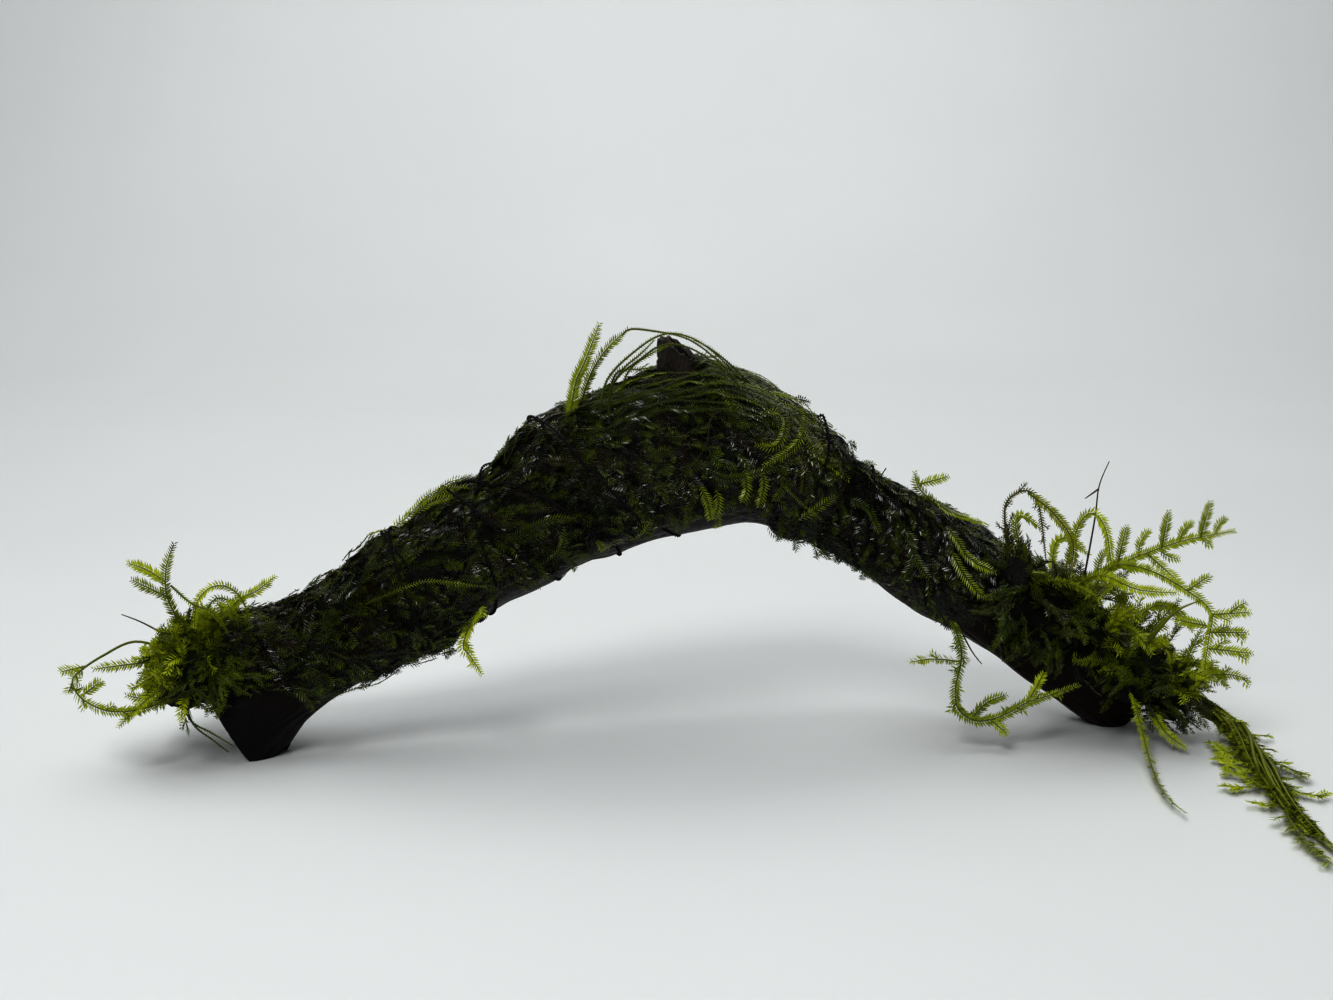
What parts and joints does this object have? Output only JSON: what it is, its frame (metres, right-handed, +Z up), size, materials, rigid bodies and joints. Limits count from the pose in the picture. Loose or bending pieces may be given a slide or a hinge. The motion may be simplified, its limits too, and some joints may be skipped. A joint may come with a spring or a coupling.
{
  "type": "java moss on spiderwood",
  "caption": "Forked driftwood branch standing as an arch on its ends, coated with tied-on aquatic moss, with bushy tufts at both feet and a trail of long stems.",
  "frame": {"origin": "on the surface that the feet stand on, below the middle of the whole object's box", "axes": "+X from the left foot to the right foot, +Y to the back, away from the viewer of the picture, +Z up"},
  "size_m": [0.2189, 0.0948, 0.0781],
  "materials": {
    "wet_wood": "wet, dark, grooved along the grain",
    "moss_coat": "wet felt of fine dark green leaf tips",
    "moss_frond": "translucent yellow-green leaves on thin stems",
    "cotton_thread": "matt twisted black cotton"
  },
  "bodies": {
    "root": {"wood_left_arm": "wet_wood", "wood_right_arm": "wet_wood", "wood_stub": "wet_wood", "moss_mat_left": "moss_coat", "moss_mat_crown": "moss_coat", "moss_mat_right": "moss_coat", "moss_tuft_left": "moss_frond", "moss_tuft_right": "moss_frond", "moss_trail": "moss_frond", "tying_thread": "cotton_thread"}
  },
  "joints": []
}
